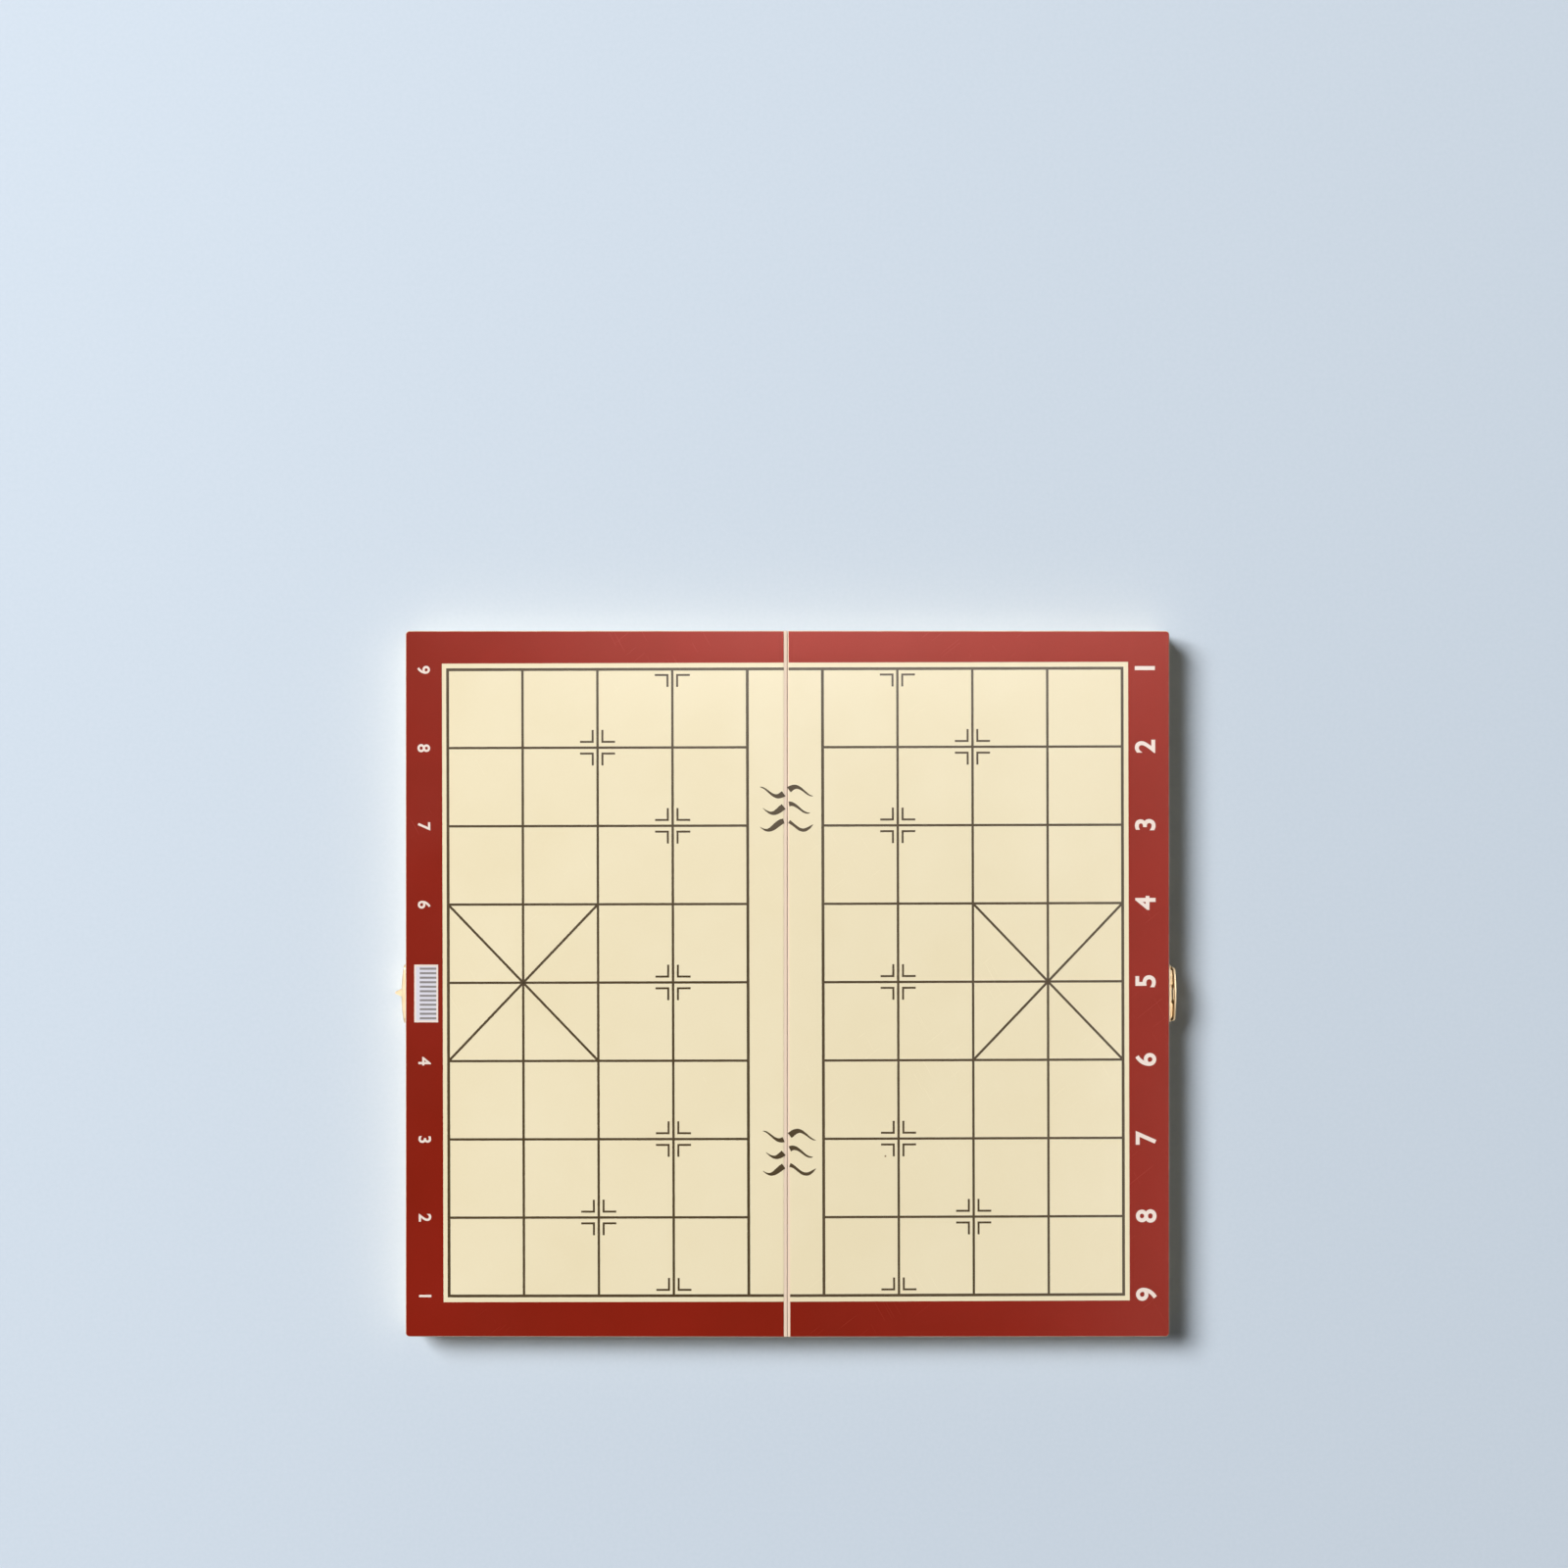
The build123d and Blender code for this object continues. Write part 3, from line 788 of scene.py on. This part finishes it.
def rest_rib(way):
    """Bowed rib that the folded flap rests on, on one side of the slot: a section carried along
    the wall. The front's reach falls with the square of the distance from the clasp's middle, and
    draws in to the plate along a quarter circle at each end. The section is a bar whose two front
    corners are quarter circles."""
    middle, half = (rib_start + rib_end) / 2, (rib_end - rib_start) / 2
    from_middle = half * np.sin(np.linspace(-pi / 2, pi / 2, rib_stations))
    along = middle + from_middle
    past = np.clip((np.abs(from_middle) - half + rib_end_round) / rib_end_round, 0, 1)
    proud = rib_crown - rib_sag * (along / rib_end) ** 2 - rib_back
    proud = proud * np.sqrt(1 - rib_end_fall * past ** 2)
    corner = np.minimum(rib_round, proud / 2)[:, None]
    turn = np.linspace(0, pi / 2, rib_round_steps + 1)
    in_by_sine, in_by_cosine = corner * (1 - np.sin(turn)), corner * (1 - np.cos(turn))
    back = np.full((len(along), 1), rib_back)
    front = (rib_back + proud)[:, None]
    low, high = np.full_like(back, rib_low), np.full_like(back, rib_high)
    reach = np.concatenate([back, front - in_by_sine, front - in_by_cosine, back], axis=1)
    height = np.concatenate([low, rib_low + in_by_cosine, rib_high - in_by_sine, high], axis=1)
    rows, columns = reach.shape
    y = clasp_middle + way * np.broadcast_to(along[:, None], reach.shape)
    points = on_tray(1, half_width + reach, y, height).reshape(-1, 3)
    caps = [np.arange(columns - 1, -1, -1), np.arange((rows - 1) * columns, rows * columns)]
    faces = [*grid_faces(rows, columns).tolist(), *(cap.tolist() for cap in caps)]
    return points, [one[::-way] for one in faces]


for way, end_name in ((-1, "near"), (1, "far")):
    points, faces = rest_rib(way)
    piece(f"hasp_{end_name}_rest_rib", points, faces, "right_half", clasp_brass)


# ---------------------------------------------------------------- floor, light and camera

# In metres. The view is as wide as this at the height of the playing face.
camera_height = 1.4
camera_place = (-0.0017, 0.09905)
view_width = 0.77728
floor_reach = 6.0
fade_start = 0.6
fade_end = 1.5
ground_colour = "#dfe7ee"


def make_floor():
    """Pale matt paper. Far from the board the camera sees it fade into the plain ground."""
    material, tree = new_material("pale_paper_floor")
    place = node(tree, "TexCoord").outputs["Object"]
    tooth = noise(tree, place, 0.002, 3.0)
    colour = ramp(tree, tooth, [(0.3, "#cbd7e3"), (0.7, "#ced9e5")])
    rough = ramp(tree, tooth, [(0.3, 0.85), (0.7, 0.9)])
    bump = node(tree, "Bump", {"Strength": 0.1, "Distance": 0.00005}, Height=tooth)
    paper = surface(tree, colour, rough, bump.outputs[0], IOR=1.3)
    away = node(tree, "VectorMath", {"operation": "LENGTH"}, i0=place)
    fade = node(tree, "MapRange", {"interpolation_type": "SMOOTHSTEP", "From Min": fade_start,
                                   "From Max": fade_end}, Value=away.outputs["Value"])
    seen = node(tree, "LightPath").outputs["Is Camera Ray"]
    amount = maths(tree, "MULTIPLY", fade.outputs[0], seen)
    ground = node(tree, "Emission", {"Color": linear(ground_colour), "Strength": 1.0})
    faded = node(tree, "MixShader", Fac=amount, i1=paper, i2=ground.outputs[0])
    node(tree, "OutputMaterial", Surface=faded.outputs[0])
    mesh = bpy.data.meshes.new("floor")
    ways = ((-1, -1), (1, -1), (1, 1), (-1, 1))
    corners = [(x * floor_reach, y * floor_reach, 0) for x, y in ways]
    mesh.from_pydata(corners, [], [(0, 1, 2, 3)])
    mesh.materials.append(material)
    floor = bpy.data.objects.new("floor", mesh)
    bpy.context.scene.collection.objects.link(floor)


def softbox(name, place, target, width, height, power, sheen_only=False):
    """Rectangular lamp that faces a target, its height in the upright plane through both. One that
    gives sheen only is seen by gloss and adds no light to matt surfaces."""
    lamp = bpy.data.lights.new(name, "AREA")
    lamp.shape = "RECTANGLE"
    lamp.size, lamp.size_y = width, height
    lamp.energy = power
    holder = bpy.data.objects.new(name, lamp)
    bpy.context.scene.collection.objects.link(holder)
    holder.visible_diffuse = not sheen_only
    x, y, z = np.subtract(target, place)
    holder.location = place
    holder.rotation_euler = (atan2(np.hypot(x, y), -z), 0, atan2(-x, y))


def make_world():
    """Dark overhead and bright towards the horizon, as in a room round a table. Mirrors see pale
    walls that give no light of their own, and the camera sees a plain pale ground."""
    world = bpy.data.worlds.new("studio")
    bpy.context.scene.world = world
    world.use_nodes = True
    tree = world.node_tree
    tree.nodes.clear()
    direction = node(tree, "SeparateXYZ", Vector=node(tree, "TexCoord").outputs["Generated"])
    upwards = direction.outputs["Z"]
    sky = ramp(tree, upwards, [(0.0, "#f2f2f2"), (0.18, "#d0d0d0"), (0.34, "#5c5c5c"),
                               (0.70, "#262626")])
    walls = ramp(tree, upwards, [(0.0, "#dcd9d2"), (0.72, "#c9c5bd"), (0.88, "#2c2c2c")])
    room = node(tree, "Background", {"Strength": 1.0}, Color=sky)
    mirrored = node(tree, "Background", {"Strength": 1.0}, Color=walls)
    ground = node(tree, "Background", {"Color": linear(ground_colour), "Strength": 1.0})
    ray = node(tree, "LightPath")
    lit = node(tree, "MixShader", Fac=ray.outputs["Is Glossy Ray"],
               i1=room.outputs[0], i2=mirrored.outputs[0])
    mixed = node(tree, "MixShader", Fac=ray.outputs["Is Camera Ray"],
                 i1=lit.outputs[0], i2=ground.outputs[0])
    node(tree, "OutputWorld", Surface=mixed.outputs[0])


make_floor()
make_world()
softbox("key_softbox", (-3.5, 2.2, 5.2), (0, 0, 0), width=2.8, height=3.0, power=548.0)
softbox("far_strip", (0.065, 0.38, 1.6), (0.065, 0.1, 0), width=0.65, height=0.18, power=3.9,
        sheen_only=True)
softbox("right_strip", (0.50, -0.10, 1.6), (0.1, -0.1, 0), width=1.3, height=0.16, power=2.2,
        sheen_only=True)

lens = bpy.data.cameras.new("camera")
lens.sensor_fit = "HORIZONTAL"
lens.angle = 2 * atan(view_width / 2 / camera_height)
camera = bpy.data.objects.new("camera", lens)
camera.location = (*camera_place, camera_height + face_height * MM)
bpy.context.scene.collection.objects.link(camera)
bpy.context.scene.camera = camera
bpy.context.scene.view_settings.view_transform = "Standard"
